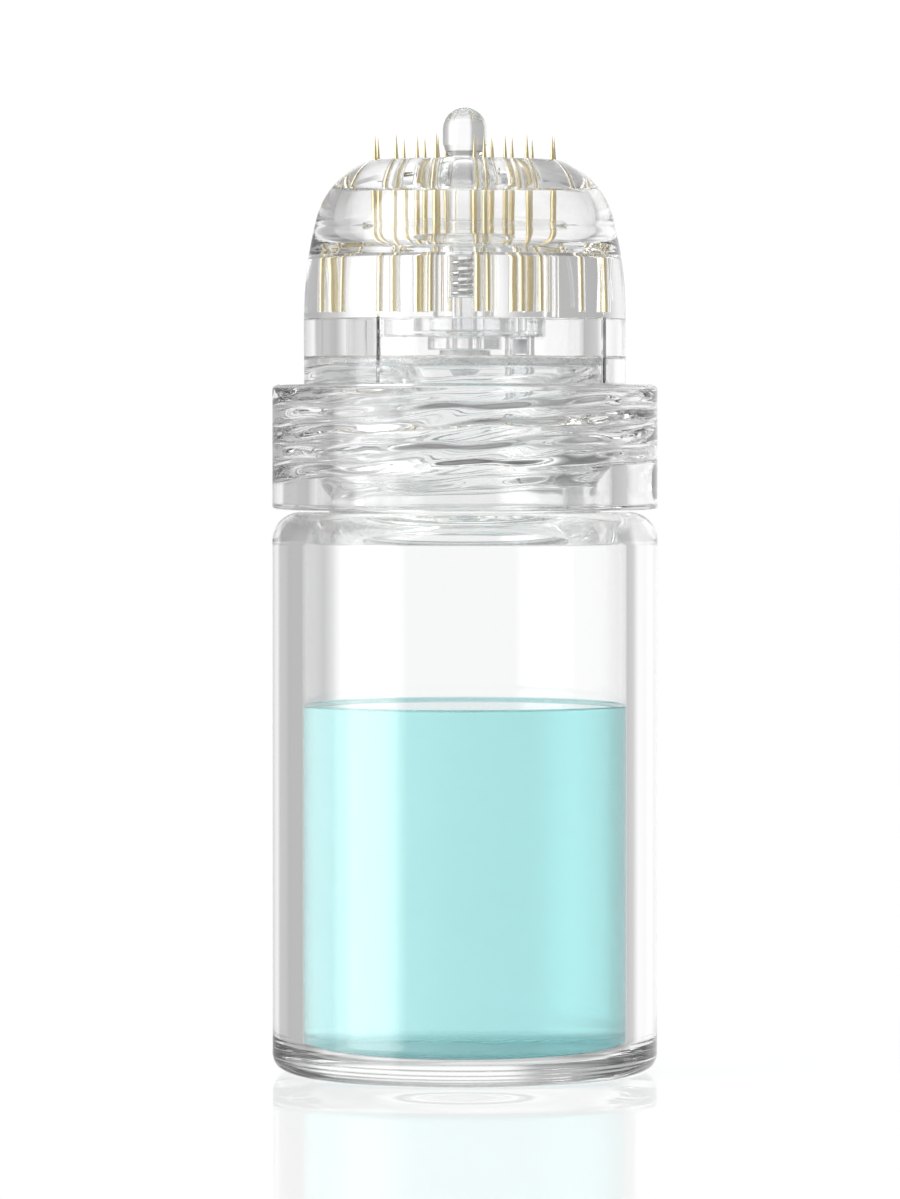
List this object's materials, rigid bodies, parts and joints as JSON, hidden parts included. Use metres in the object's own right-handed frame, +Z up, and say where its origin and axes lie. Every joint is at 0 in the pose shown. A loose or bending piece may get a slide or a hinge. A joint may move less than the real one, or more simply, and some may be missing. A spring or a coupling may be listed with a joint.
{
  "type": "microneedle serum applicator",
  "caption": "Clear glass serum vial with a screw-on needle head. Pressing the rounded plunger among the needles opens a sprung valve that lets serum out onto the skin.",
  "frame": {"origin": "centre of the vial's foot, on the plane that it stands on", "axes": "+Z up along the vial, through the plunger; -Y towards the viewer; +X to the viewer's right"},
  "size_m": [0.024, 0.024, 0.06],
  "materials": {
    "vial_glass": "gloss",
    "serum_liquid": "gloss",
    "clear_plastic": "gloss",
    "plate_plastic": "satin",
    "sleeve_plastic": "satin",
    "needle_gold": "polished",
    "spring_steel": "gloss",
    "silicone": "satin",
    "filter_felt": "matte"
  },
  "bodies": {
    "vial": {"glass_vial": "vial_glass", "serum": "serum_liquid"},
    "seal": {"neck_gasket": "silicone"},
    "head": {"threaded_base": "clear_plastic", "dome_cap": "clear_plastic", "needle_plate": "plate_plastic", "needle_01": "needle_gold", "needle_02": "needle_gold", "needle_03": "needle_gold", "needle_04": "needle_gold", "needle_05": "needle_gold", "needle_06": "needle_gold", "needle_07": "needle_gold", "needle_08": "needle_gold", "needle_09": "needle_gold", "needle_10": "needle_gold", "needle_11": "needle_gold", "needle_12": "needle_gold", "needle_13": "needle_gold", "needle_14": "needle_gold", "needle_15": "needle_gold", "needle_16": "needle_gold", "needle_17": "needle_gold", "needle_18": "needle_gold", "needle_19": "needle_gold", "needle_20": "needle_gold", "guide_sleeve": "sleeve_plastic", "valve_plate": "sleeve_plastic", "vent_tube": "sleeve_plastic", "vent_filter": "filter_felt", "return_spring": "spring_steel"},
    "valve": {"plunger": "clear_plastic", "valve_stopper": "silicone"}
  },
  "joints": [
    {"name": "head_lift", "type": "slide", "parent": "vial", "child": "seal", "axis": [0, 0, 1], "range_m": [0, 0.0097]},
    {"name": "head_turn", "type": "hinge", "parent": "seal", "child": "head", "pos_m": [0, 0, 0.04], "axis": [0, 0, 1], "range_deg": [0, 1440]},
    {"name": "plunger_press", "type": "slide", "parent": "head", "child": "valve", "axis": [0, 0, -1], "range_m": [0, 0.0016], "stiffness_N_per_m": 200, "springref_m": -0.001, "deforming": ["return_spring"]}
  ],
  "couplings": [
    {"joint": "head_lift", "follows": "head_turn", "m_per_rad": 0.00038197}
  ]
}
